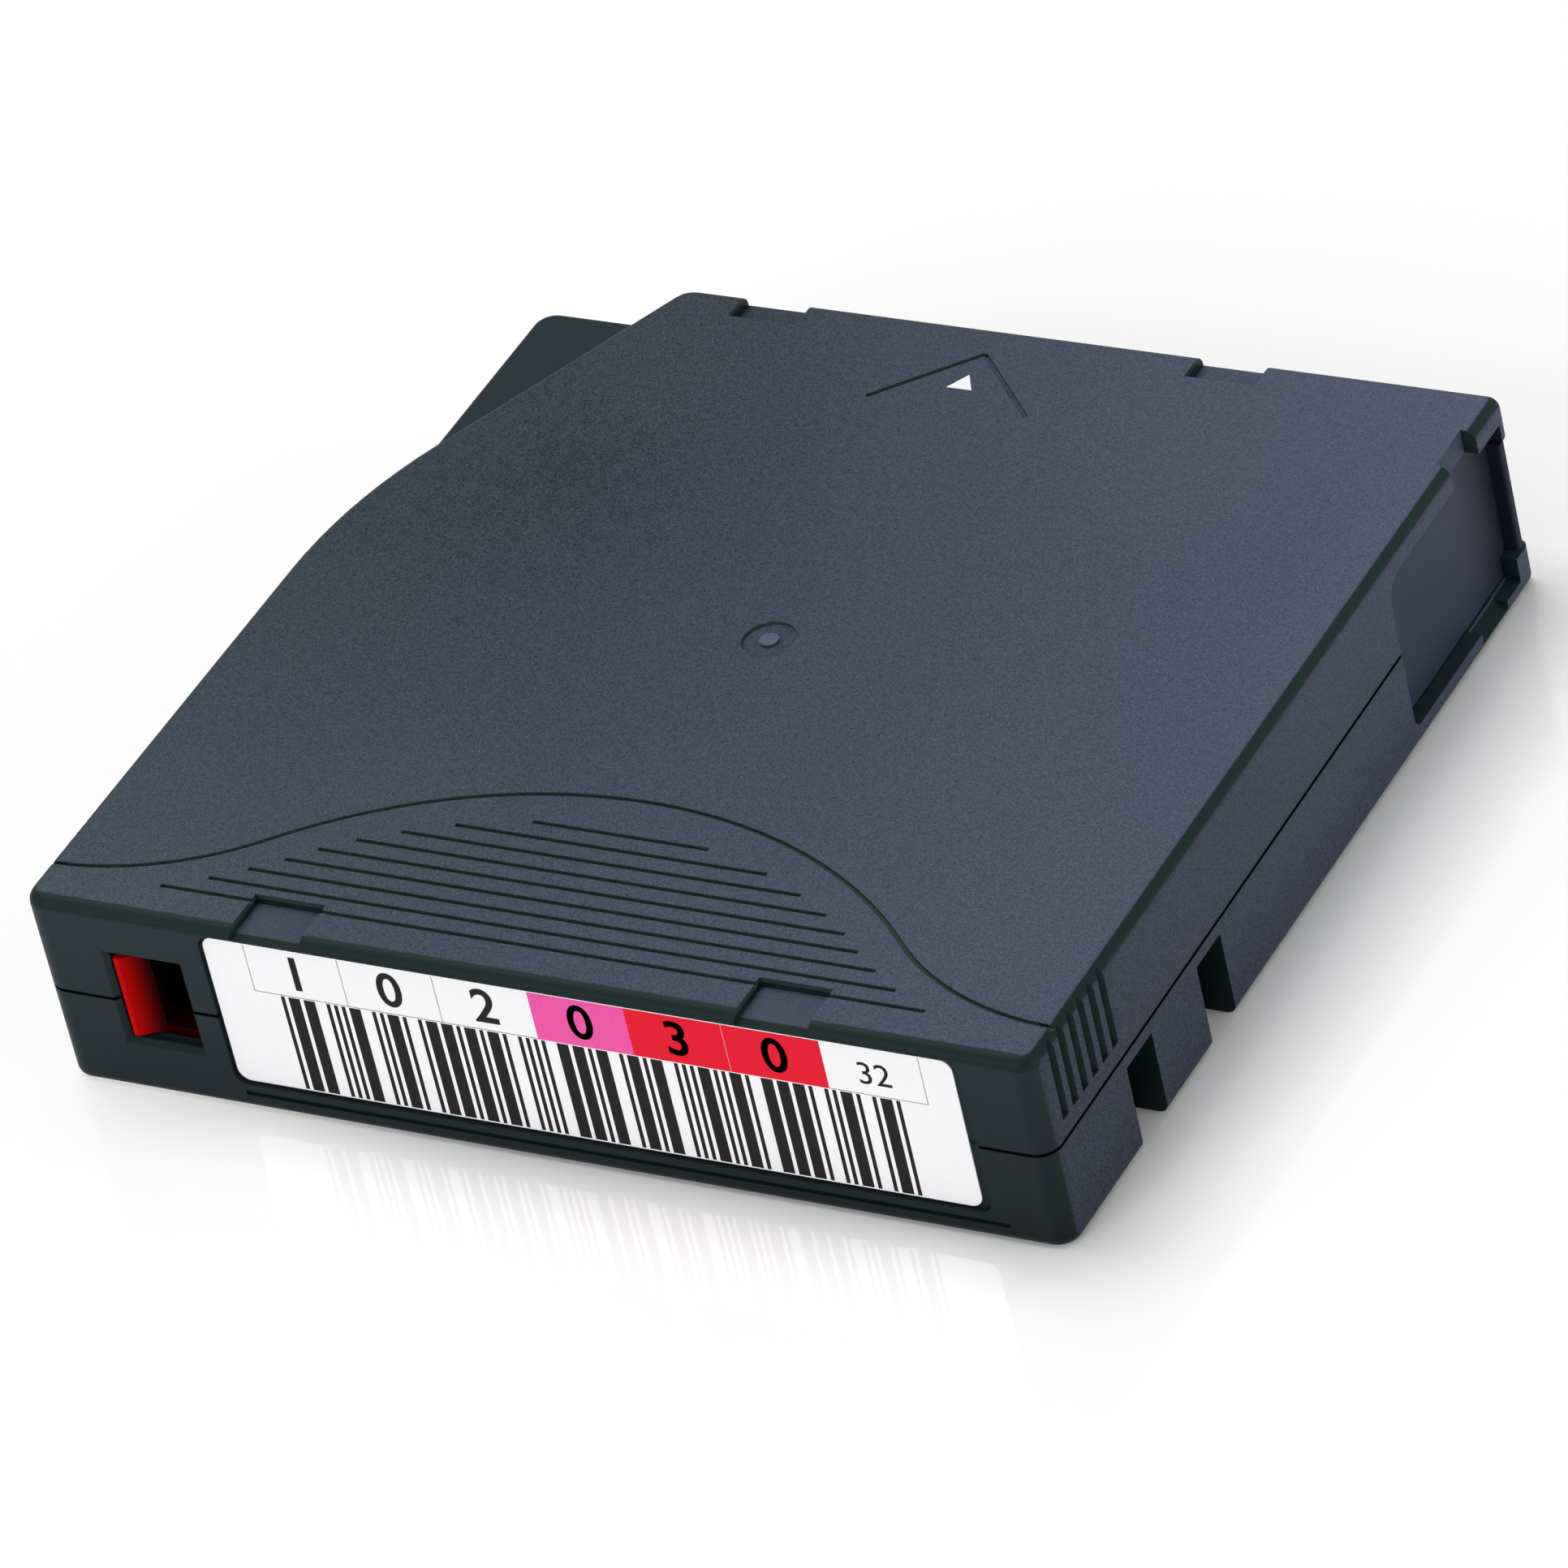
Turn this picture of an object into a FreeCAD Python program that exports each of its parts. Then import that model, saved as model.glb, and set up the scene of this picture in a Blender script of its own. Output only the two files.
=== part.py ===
import FreeCAD, Part
import math
import os

from FreeCAD import Vector

# Single-reel data tape cartridge, 105.4 x 102 x 21.5 mm.
#
# Frame: origin at the bottom centre, +Z up, +X to the right seen from the
# label end, +Y from the label end towards the end that enters the drive.
# All lengths are in millimetres and all angles in degrees.
#
# The case is a bottom and a top shell. Inside them one flanged reel carries
# the tape pack. The free end of the tape is held by a leader pin in the bay
# behind a sliding door, at the right of the entry end.

# ---------------------------------------------------------------- case

WIDTH = 105.4
LENGTH = 102.0
PANEL = 1.9
WALL = 1.6
CORNER_R = 2.2
ENTRY_CORNER_R = 1.2
TOP_EDGE_R = 1.3
BOTTOM_EDGE_R = 1.0
SEAM_GAP = 0.3
SEAM_DEPTH = 0.45

# the height of the case follows from what is stacked in it
TAPE_WIDTH = 12.65
TAPE_CLEARANCE = 0.2
FLANGE_T = 1.1
REEL_FLOOR_GAP = 1.1
REEL_CEILING_GAP = 1.55

HALF_W = WIDTH / 2
HALF_L = LENGTH / 2
FLOOR_Z = PANEL
REEL_Z = FLOOR_Z + REEL_FLOOR_GAP
REEL_TOP_Z = REEL_Z + 2 * FLANGE_T + TAPE_WIDTH + TAPE_CLEARANCE
CEILING_Z = REEL_TOP_Z + REEL_CEILING_GAP
HEIGHT = CEILING_Z + PANEL
SEAM_Z = HEIGHT / 2

# guide cut: the upper part of the left entry corner is cut away so that a
# cartridge can only go in one way
GUIDE_DEPTH = 5.4
GUIDE_LENGTH = 39.0
GUIDE_ARC_R = 52.7
GUIDE_TURN = 24.0
GUIDE_TIP_R = 2.5
LEDGE_EDGE_R = 0.8
GUIDE_LEDGE_Z = HEIGHT - GUIDE_DEPTH
GUIDE_CORNER = (-HALF_W, HALF_L - GUIDE_LENGTH)

# ---------------------------------------------------------------- reel

REEL_Y = 0.5
REEL_SIDE_SPACE = 5.2
REEL_END_SPACE = 3.0
FLANGE_R = min(HALF_W - REEL_SIDE_SPACE, HALF_L - REEL_Y - REEL_END_SPACE)
PACK_MARGIN = 4.0
PACK_R = FLANGE_R - PACK_MARGIN
HUB_R = 22.0
HUB_WALL = 2.5
HUB_FLOOR_T = 2.0
HUB_INNER_R = HUB_R - HUB_WALL
HUB_FLOOR_Z = REEL_Z + HUB_FLOOR_T

DRIVE_TEETH = 36
DRIVE_TOOTH_MARGIN = 0.8
DRIVE_TOOTH_L = 4.0
DRIVE_TOOTH_H = 1.6
DRIVE_TOOTH_R1 = HUB_R - DRIVE_TOOTH_MARGIN
DRIVE_TOOTH_R0 = DRIVE_TOOTH_R1 - DRIVE_TOOTH_L
PLATE_GAP = 0.8
PLATE_W = 5.6
PLATE_T = 0.8
SPINDLE_CLEARANCE = 0.5
SPINDLE_HOLE_R = HUB_R + SPINDLE_CLEARANCE

BRAKE_TEETH = 24
BRAKE_R = 14.0
BRAKE_TOOTH_L = 2.5
BRAKE_TOOTH_W = 1.2
BRAKE_TOOTH_H = 1.1
BRAKE_MESH = 0.8
BRAKE_DISC_T = 1.4
BRAKE_PAD = 7.0
BRAKE_LIFT = 1.5
POST_SIDE = 8.0
POST_PLAY = 0.25
POST_END_GAP = 0.6
SOCKET_WALL = 1.5
SOCKET_H = 6.4
BRAKE_SPRING_TURNS = 4
BRAKE_SPRING_WIRE = 0.8
BRAKE_SPRING_PLAY = 0.85

RELEASE_R = 9.8
RELEASE_T = 0.8
RELEASE_TIP = 5.0
RELEASE_GAP = 0.05
LEG_R = 7.6
LEG = (2.4, 3.6)
LEG_PLAY = 0.25
LEG_REACH = 1.3

BRAKE_TOOTH_Z = HUB_FLOOR_Z + BRAKE_TOOTH_H - BRAKE_MESH
BRAKE_Z = BRAKE_TOOTH_Z + BRAKE_TOOTH_H
BRAKE_TOP_Z = BRAKE_Z + BRAKE_DISC_T
POST_Z = BRAKE_TOP_Z + BRAKE_LIFT + POST_END_GAP

# ---------------------------------------------------------------- door

DOOR_T = 1.05
DOOR_PLAY = 0.1
DOOR_END_PLAY = 0.2
DOOR_TRAVEL = 24.0
DOOR_OPEN_LENGTH = 27.0
DOOR_OVERLAP = 1.0
DOOR_SILL = 0.1
DOOR_LIP = 0.7
CORNER_BLOCK_L = 6.3
CORNER_POST_L = 3.1
CORNER_STEP_H = 1.6
CORNER_POST_H = 4.2
END_LIP = 2.6
EDGE_CUT_L = 5.7
EDGE_CUT_DEPTH = 1.5
SILL_SLOPE_Z = 0.3
DOOR_TAB_T = 0.9
DOOR_TAB_PLAY = 0.3
DOOR_TAB_INSET = 0.2
DOOR_LUG = (1.2, 1.4, 3.7)
DOOR_LUG_Z = 4.6
DOOR_SPRING_TURNS = 8
DOOR_SPRING_R = 1.1
DOOR_SPRING_WIRE = 0.45
RAIL_W = 0.9
RAIL_H = 2.0

DOOR_OPEN_Y0 = HALF_L - DOOR_OPEN_LENGTH
DOOR_SILL_Z = FLOOR_Z + DOOR_SILL
DOOR_LIP_Z = CEILING_Z - DOOR_LIP
CORNER_BLOCK_Y = HALF_L - CORNER_BLOCK_L
CORNER_POST_Y = HALF_L - CORNER_POST_L
END_LIP_Z = CEILING_Z - END_LIP
DOOR_X1 = HALF_W - WALL - DOOR_PLAY
DOOR_X0 = DOOR_X1 - DOOR_T
DOOR_Y0 = DOOR_OPEN_Y0 - DOOR_OVERLAP
DOOR_Y1 = HALF_L - WALL - DOOR_END_PLAY
DOOR_Z0 = FLOOR_Z + DOOR_END_PLAY
DOOR_Z1 = CEILING_Z - DOOR_END_PLAY
RAIL_X1 = DOOR_X0 - DOOR_PLAY
RAIL_X0 = RAIL_X1 - RAIL_W

# ---------------------------------------------------------------- leader

PIN_SIDE_INSET = 9.9
PIN_END_INSET = 8.7
PIN_R = 1.1
PIN_HEAD_R = 2.1
PIN_HEAD_T = 0.9
PIN_END_PLAY = 0.1
CLIP_T = 0.7
CLIP_MOUTH = 1.0
LEADER_T = 0.16
LEADER_GAP = 0.35
PIN_SPRING_T = 0.5
PIN_SPRING_H = 1.2
PIN_SPRING_LEG = 2.2
PIN_X = HALF_W - PIN_SIDE_INSET
PIN_Y = HALF_L - PIN_END_INSET

# ---------------------------------------------------------------- outside

# gripper notches: near and far edge of each, from the label end
NOTCHES = ((14.8, 20.0), (29.5, 34.5))
NOTCH_DEPTH = 3.4
NOTCH_ROOF = 1.45
NOTCH_BLOCK_WALL = 1.6
NOTCH_TOP_Z = SEAM_Z - NOTCH_ROOF

RIDGE_INSET = 3.7
RIDGE_PITCH = 2.04
RIDGE_COUNT = 6
RIDGE_W = 1.15
RIDGE_DEPTH = 0.5
RIDGE_RISE = 1.95

GRIP_W = 7.5
FRONT_GRIP_X = 26.4
FRONT_GRIP_L = 5.6
FRONT_GRIP_DEPTH = 1.1
BACK_GRIP_X = 24.8
BACK_GRIP_L = 3.8
BACK_GRIP_DEPTH = 1.45

LABEL_LEFT_INSET = 19.1
LABEL_RIGHT_INSET = 8.5
LABEL_BASE = 3.2
LABEL_TOP_INSET = 1.5
LABEL_T = 0.12
LABEL_CORNER_R = 1.3
RECESS_MARGIN = 0.3
RECESS_END_MARGIN = 1.1
RECESS_FOOT_MARGIN = 0.3
RECESS_DEPTH = 0.5
LABEL_X = (-HALF_W + LABEL_LEFT_INSET, HALF_W - LABEL_RIGHT_INSET)
LABEL_Z = (LABEL_BASE, HEIGHT - LABEL_TOP_INSET)

SWITCH_INSET = 8.1
SWITCH_W = 7.7
SWITCH_BASE = 6.1
SWITCH_TOP_INSET = 5.5
SWITCH_TRAVEL = 2.0
SWITCH_HOLE_INSET = 3.4
SWITCH_WALL_INSET = 0.5
SWITCH_LIP_REACH = 4.2
SWITCH_LIP_H = 0.6
SWITCH_BEVEL = 0.5
SWITCH_PLATE_T = 0.9
SWITCH_PLAY = 0.1
SWITCH_LAP = 1.4
SWITCH_RAIL_T = 1.0
SWITCH_RAIL_LAP = 0.9
SWITCH_X = (-HALF_W + SWITCH_INSET, -HALF_W + SWITCH_INSET + SWITCH_W)
SWITCH_Z = (SWITCH_BASE, HEIGHT - SWITCH_TOP_INSET)
SWITCH_PLATE_Y0 = -HALF_L + WALL + SWITCH_PLAY
SWITCH_PLATE_Y1 = SWITCH_PLATE_Y0 + SWITCH_PLATE_T
SWITCH_RAIL_Y0 = SWITCH_PLATE_Y1 + SWITCH_PLAY
SWITCH_RAIL_Y1 = SWITCH_RAIL_Y0 + SWITCH_RAIL_T
SWITCH_PLATE_Z0 = SWITCH_Z[0] - SWITCH_LAP
SWITCH_PLATE_Z1 = SWITCH_Z[1] + SWITCH_LAP

GROOVE_W = 0.5
GROOVE_DEPTH = 0.35
FOOT_LINE_Z = 1.9
FOOT_LINE_INSET = 0.6
FOOT_LINE_REACH = 2.6
BELL_REACH = 26.4
BELL_R = 48.0
BELL_FOOT_R = 28.6
BELL_TURN = 43.5
LINE_REACH = 21.3
LINE_PITCH = 2.08
LINE_HALF = (9.25, 16.35, 20.95, 24.65, 27.6, 30.0, 32.8, 35.9, 39.9)
ARROW_INSET = 4.5
ARROW_ARM = 8.6
ARROW_W = 0.55
DIMPLE_R = 2.7
DIMPLE_DEPTH = 0.35
NUB_R = 0.95

# screws: inset from the nearest side and from the nearest end, and the
# corner each one is in
SCREWS = (
    (-1, -1, 5.1, 8.4),
    (1, -1, 5.3, 7.8),
    (-1, 1, 6.1, 7.2),
    (1, 1, 16.7, 5.0),
)
SCREW_BOSS = 5.2
SCREW_R = 1.0
SCREW_HEAD_R = 2.1
SCREW_HEAD_T = 1.3
SCREW_HEAD_DEPTH = 0.5
SCREW_LENGTH = 10.5
SCREW_PLAY = 0.06
SCREW_TIP_ROOM = 0.6
SCREW_CROSS = (2.6, 0.6, 0.6)

MEMORY = (11.0, 0.8, 9.0)
MEMORY_INSET = (12.1, 12.4)

# how far a piece reaches into one that it is joined to, and how far a cut
# runs past the surface that it starts from
FUSE = 0.2
PAST = 1.0


# ---------------------------------------------------------------- helpers


def box(x0, x1, y0, y1, z0, z1):
    size = (x1 - x0, y1 - y0, z1 - z0)
    return Part.makeBox(*size, Vector(x0, y0, z0))


def tube(r_in, r_out, z0, z1, x=0.0, y=0.0):
    ring = Part.makeCylinder(r_out, z1 - z0, Vector(x, y, z0))
    if r_in <= 0:
        return ring
    return ring.cut(Part.makeCylinder(r_in, z1 - z0, Vector(x, y, z0)))


def inset_corners(corners, distance):
    # the same rounded outline moved inwards; corners run anticlockwise
    count = len(corners)
    lines = []
    for i in range(count):
        (ax, ay), _ = corners[i]
        (bx, by), _ = corners[(i + 1) % count]
        length = math.hypot(bx - ax, by - ay)
        nx = -(by - ay) / length
        ny = (bx - ax) / length
        lines.append((nx, ny, nx * ax + ny * ay + distance))
    result = []
    for i in range(count):
        a1, b1, c1 = lines[i - 1]
        a2, b2, c2 = lines[i]
        det = a1 * b2 - a2 * b1
        x = (c1 * b2 - c2 * b1) / det
        y = (a1 * c2 - a2 * c1) / det
        result.append(((x, y), max(corners[i][1] - distance, 0.3)))
    return result


def outline_face(corners, place=lambda x, y: Vector(x, y, 0)):
    # a flat face with straight sides and tangent arcs at its corners
    count = len(corners)
    stops = []
    for i in range(count):
        (px, py), _ = corners[i - 1]
        (cx, cy), radius = corners[i]
        (nx, ny), _ = corners[(i + 1) % count]
        back = math.hypot(px - cx, py - cy)
        ahead = math.hypot(nx - cx, ny - cy)
        ux, uy = (px - cx) / back, (py - cy) / back
        vx, vy = (nx - cx) / ahead, (ny - cy) / ahead
        half = math.acos(max(-1.0, min(1.0, ux * vx + uy * vy))) / 2
        reach = radius / math.tan(half)
        bx, by = ux + vx, uy + vy
        size = math.hypot(bx, by)
        centre = radius / math.sin(half)
        middle = centre - radius
        start = (cx + ux * reach, cy + uy * reach)
        mid = (cx + bx / size * middle, cy + by / size * middle)
        end = (cx + vx * reach, cy + vy * reach)
        stops.append((start, mid, end))
    edges = []
    for i in range(count):
        start, mid, end = (place(*point) for point in stops[i])
        edges.append(Part.Arc(start, mid, end).toShape())
        following = place(*stops[(i + 1) % count][0])
        if end.distanceToPoint(following) > 1e-6:
            edges.append(Part.LineSegment(end, following).toShape())
    return Part.Face(Part.Wire(edges))


def prism(corners, z0, z1):
    face = outline_face(corners)
    face.translate(Vector(0, 0, z0))
    return face.extrude(Vector(0, 0, z1 - z0))


def round_edges(shape, radius, choose):
    edges = [edge for edge in shape.Edges if choose(edge.BoundBox)]
    return shape.makeFillet(radius, edges)


def flat_at(z):
    return lambda b: abs(b.ZMin - z) < 1e-4 and abs(b.ZMax - z) < 1e-4


def mirrored(shape):
    return shape.mirror(Vector(0, 0, 0), Vector(1, 0, 0))


def coil(radius, wire, turns, height, steps=14):
    # a coil of square wire about Z, from z = 0 up to z = height
    half = wire / 2
    sections = []
    for i in range(turns * steps + 1):
        angle = 2 * math.pi * i / steps
        z = half + (height - wire) * i / (turns * steps)
        points = []
        for a, b in ((-half, -half), (half, -half), (half, half), (-half, half)):
            r = radius + a
            points.append(Vector(r * math.cos(angle), r * math.sin(angle), z + b))
        sections.append(Part.makePolygon(points + points[:1]))
    return Part.makeLoft(sections, True, True)


# ---------------------------------------------------------------- outlines

CASE_CORNERS = [
    ((-HALF_W, -HALF_L), CORNER_R),
    ((HALF_W, -HALF_L), CORNER_R),
    ((HALF_W, HALF_L), ENTRY_CORNER_R),
    ((-HALF_W, HALF_L), CORNER_R),
]


def guide_tip_x():
    rise = HALF_L - GUIDE_CORNER[1]
    return GUIDE_CORNER[0] + rise * math.tan(math.radians(GUIDE_TURN))


GUIDE_CORNERS = [
    ((-HALF_W, -HALF_L), CORNER_R),
    ((HALF_W, -HALF_L), CORNER_R),
    ((HALF_W, HALF_L), ENTRY_CORNER_R),
    ((guide_tip_x(), HALF_L), GUIDE_TIP_R),
    (GUIDE_CORNER, GUIDE_ARC_R),
]


# ---------------------------------------------------------------- cutters


def seam_groove(z0, z1):
    inner = inset_corners(CASE_CORNERS, SEAM_DEPTH)
    ring = prism(inset_corners(CASE_CORNERS, -PAST), z0, z1)
    return ring.cut(prism(inner, z0 - PAST, z1 + PAST))


def foot_line():
    # a thin line under the label
    x0, x1 = LABEL_X[0] + FOOT_LINE_INSET, LABEL_X[1] + FOOT_LINE_REACH
    z0, z1 = FOOT_LINE_Z - GROOVE_W / 2, FOOT_LINE_Z + GROOVE_W / 2
    return box(x0, x1, -HALF_L - PAST, -HALF_L + GROOVE_DEPTH, z0, z1)


def label_recess():
    x0 = LABEL_X[0] - RECESS_MARGIN
    x1 = LABEL_X[1] + RECESS_END_MARGIN
    z0 = LABEL_Z[0] - RECESS_FOOT_MARGIN
    z1 = LABEL_Z[1] + RECESS_MARGIN
    radius = LABEL_CORNER_R + RECESS_MARGIN / 2
    corners = [((x0, z0), radius), ((x1, z0), radius)]
    corners += [((x1, z1), radius), ((x0, z1), radius)]
    floor_y = -HALF_L + RECESS_DEPTH
    face = outline_face(corners, lambda x, z: Vector(x, floor_y, z))
    return face.extrude(Vector(0, -RECESS_DEPTH - PAST, 0))


def switch_window():
    x0, x1 = SWITCH_X
    z0, z1 = SWITCH_Z
    y = -HALF_L
    hole = box(x0, x1, y - PAST, y + WALL + PAST, z0, z1)

    def frame(grow, at):
        points = [
            Vector(x0 - grow, at, z0 - grow),
            Vector(x1 + grow, at, z0 - grow),
            Vector(x1 + grow, at, z1 + grow),
            Vector(x0 - grow, at, z1 + grow),
        ]
        return Part.makePolygon(points + points[:1])

    rims = [frame(SWITCH_BEVEL, y), frame(0, y + SWITCH_BEVEL)]
    return hole.fuse(Part.makeLoft(rims, True, True))


def door_opening():
    # profile in the Y-Z plane, cut through the right wall and round the corner
    y0, y1 = DOOR_OPEN_Y0, HALF_L + 5 * PAST
    z0, z1 = DOOR_SILL_Z, DOOR_LIP_Z
    corners = [((y0, z0), 1.2), ((y1, z0), 1.0)]
    corners += [((y1, z1), 1.0), ((y0, z1), 2.5)]
    x0, x1 = DOOR_X0 - DOOR_PLAY, HALF_W + PAST
    face = outline_face(corners, lambda y, z: Vector(x0, y, z))
    cut = face.extrude(Vector(x1 - x0, 0, 0))
    # what stays at the corner: a step and a post below, the end wall above
    y2, y3 = CORNER_BLOCK_Y, CORNER_POST_Y
    low = box(x1 - WALL - PAST, x1 + PAST, y2, y1, CORNER_STEP_H, z0 + PAST)
    post = box(x0 - PAST, x1 + PAST, y3, y1 + PAST, -PAST, CORNER_POST_H)
    lip = box(x0 - PAST, x1 + PAST, HALF_L - WALL, y1 + PAST, END_LIP_Z, z1 + PAST)
    return cut.fuse(low).cut(post.fuse(lip))


def door_edge_cuts():
    # beside the corner the lip is cut back and the sill slopes away
    x0 = HALF_W - EDGE_CUT_DEPTH
    y0 = CORNER_BLOCK_Y - EDGE_CUT_L
    lip = box(x0, HALF_W + PAST, y0, CORNER_BLOCK_Y, DOOR_SILL_Z, HEIGHT + PAST)
    slope = [
        Vector(x0, y0, CORNER_STEP_H),
        Vector(HALF_W + PAST, y0, SILL_SLOPE_Z),
        Vector(HALF_W + PAST, y0, DOOR_SILL_Z + FUSE),
        Vector(x0, y0, DOOR_SILL_Z + FUSE),
    ]
    face = Part.Face(Part.makePolygon(slope + slope[:1]))
    return lip.fuse(face.extrude(Vector(0, EDGE_CUT_L, 0)))


def notch_span(near, far):
    return -HALF_L + near, -HALF_L + far


def gripper_notches():
    cuts = []
    for near, far in NOTCHES:
        y0, y1 = notch_span(near, far)
        cut = box(HALF_W - NOTCH_DEPTH, HALF_W + PAST, y0, y1, -PAST, NOTCH_TOP_Z)
        cuts += [cut, mirrored(cut)]
    return cuts


def notch_blocks():
    blocks = []
    for near, far in NOTCHES:
        y0, y1 = notch_span(near - NOTCH_BLOCK_WALL, far + NOTCH_BLOCK_WALL)
        x0 = HALF_W - NOTCH_DEPTH - NOTCH_BLOCK_WALL
        block = box(x0, HALF_W - WALL + FUSE, y0, y1, FLOOR_Z - FUSE, SEAM_Z)
        blocks += [block, mirrored(block)]
    return blocks


def side_ridges():
    # shallow grooves with slanted flanks, open at the top edge
    cuts = []
    z0, z1 = SEAM_Z + RIDGE_RISE, HEIGHT + PAST
    for i in range(RIDGE_COUNT):
        y = -HALF_L + RIDGE_INSET + i * RIDGE_PITCH
        x0 = HALF_W - RIDGE_DEPTH
        x1 = HALF_W + RIDGE_DEPTH
        points = [
            Vector(x0, y - RIDGE_W / 4, z0),
            Vector(x1, y - RIDGE_W * 3 / 4, z0),
            Vector(x1, y + RIDGE_W * 3 / 4, z0),
            Vector(x0, y + RIDGE_W / 4, z0),
        ]
        face = Part.Face(Part.makePolygon(points + points[:1]))
        cut = face.extrude(Vector(0, 0, z1 - z0))
        cuts += [cut, mirrored(cut)]
    return cuts


def edge_grips():
    cuts = []
    half = GRIP_W / 2
    for x in (-FRONT_GRIP_X, FRONT_GRIP_X):
        y0, y1 = -HALF_L - PAST, -HALF_L + FRONT_GRIP_L
        low = HEIGHT - FRONT_GRIP_DEPTH
        cuts.append(box(x - half, x + half, y0, y1, low, HEIGHT + PAST))
    for x in (-BACK_GRIP_X, BACK_GRIP_X):
        y0, y1 = HALF_L - BACK_GRIP_L, HALF_L + PAST
        low = HEIGHT - BACK_GRIP_DEPTH
        cuts.append(box(x - half, x + half, y0, y1, low, HEIGHT + PAST))
    return cuts


def arc_groove(x, y, radius, from_angle, to_angle):
    # engraved arc in the top face; angles anticlockwise from +X
    low = HEIGHT - GROOVE_DEPTH
    middle = (from_angle + to_angle) / 2
    r0, r1 = radius - GROOVE_W / 2, radius + GROOVE_W / 2

    def at(r, angle):
        a = math.radians(angle)
        return Vector(x + r * math.cos(a), y + r * math.sin(a), low)

    outer = Part.Arc(at(r1, from_angle), at(r1, middle), at(r1, to_angle))
    inner = Part.Arc(at(r0, to_angle), at(r0, middle), at(r0, from_angle))
    far_end = Part.LineSegment(at(r1, to_angle), at(r0, to_angle))
    near_end = Part.LineSegment(at(r0, from_angle), at(r1, from_angle))
    edges = [curve.toShape() for curve in (outer, far_end, inner, near_end)]
    return Part.Face(Part.Wire(edges)).extrude(Vector(0, 0, GROOVE_DEPTH + PAST))


def bell_groove():
    centre_y = -HALF_L + BELL_REACH - BELL_R
    cuts = [arc_groove(0, centre_y, BELL_R, 90 - BELL_TURN, 90 + BELL_TURN)]
    reach = BELL_R + BELL_FOOT_R
    turn = math.radians(BELL_TURN)
    foot_x = reach * math.sin(turn)
    foot_y = centre_y + reach * math.cos(turn)
    foot = arc_groove(foot_x, foot_y, BELL_FOOT_R, 270 - BELL_TURN, 270.6)
    return cuts + [foot, mirrored(foot)]


def line_grooves():
    cuts = []
    half = GROOVE_W / 2
    low = HEIGHT - GROOVE_DEPTH
    for i, reach in enumerate(LINE_HALF):
        y = -HALF_L + LINE_REACH - i * LINE_PITCH
        cuts.append(box(-reach, reach, y - half, y + half, low, HEIGHT + PAST))
    return cuts


def entry_arrow():
    arm = ARROW_ARM * math.sqrt(2)
    low = HEIGHT - GROOVE_DEPTH
    bar = box(0, arm, -ARROW_W / 2, ARROW_W / 2, low, HEIGHT + PAST)
    cuts = []
    for angle in (225, 315):
        cut = bar.copy()
        cut.rotate(Vector(0, 0, 0), Vector(0, 0, 1), angle)
        cut.translate(Vector(0, HALF_L - ARROW_INSET, 0))
        cuts.append(cut)
    return cuts


def centre_dimple():
    low = HEIGHT - DIMPLE_DEPTH
    return tube(NUB_R, DIMPLE_R, low, HEIGHT + PAST, 0, REEL_Y)


# ---------------------------------------------------------------- screws


def screw_places():
    places = []
    for side, end, side_inset, end_inset in SCREWS:
        places.append((side * (HALF_W - side_inset), end * (HALF_L - end_inset)))
    return places


def under_ledge(x, y):
    return x < 0 and y > 0


SCREW_SEAT_Z = SCREW_HEAD_DEPTH + SCREW_HEAD_T


def screw_tip_z(x, y):
    tip = SCREW_SEAT_Z + SCREW_LENGTH
    if under_ledge(x, y):
        tip = min(tip, GUIDE_LEDGE_Z - WALL - SCREW_TIP_ROOM)
    return tip


def screw_bosses(z0, z1_of):
    bosses = []
    half = SCREW_BOSS / 2
    for x, y in screw_places():
        bosses.append(box(x - half, x + half, y - half, y + half, z0, z1_of(x, y)))
    return bosses


def make_screws():
    screws = []
    length, width, depth = SCREW_CROSS
    z = SCREW_HEAD_DEPTH
    for x, y in screw_places():
        head = tube(0, SCREW_HEAD_R, z, SCREW_SEAT_Z, x, y)
        shank = tube(0, SCREW_R, SCREW_SEAT_Z, screw_tip_z(x, y), x, y)
        cross = [
            box(x - length / 2, x + length / 2, y - width / 2, y + width / 2, z, z + depth),
            box(x - width / 2, x + width / 2, y - length / 2, y + length / 2, z, z + depth),
        ]
        screws.append(head.fuse(shank).cut(cross).removeSplitter())
    return Part.makeCompound(screws)


# ---------------------------------------------------------------- shells


def door_rail(z0, z1):
    return box(RAIL_X0, RAIL_X1, DOOR_Y0 - DOOR_TRAVEL, CORNER_BLOCK_Y, z0, z1)


def switch_rail(z0, z1):
    x0 = SWITCH_X[0] - SWITCH_TRAVEL - SWITCH_LAP
    x1 = SWITCH_X[1] + SWITCH_TRAVEL + SWITCH_LAP
    return box(x0, x1, SWITCH_RAIL_Y0, SWITCH_RAIL_Y1, z0, z1)


def outside_cuts():
    return [label_recess(), switch_window(), door_opening(), door_edge_cuts()]


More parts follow.
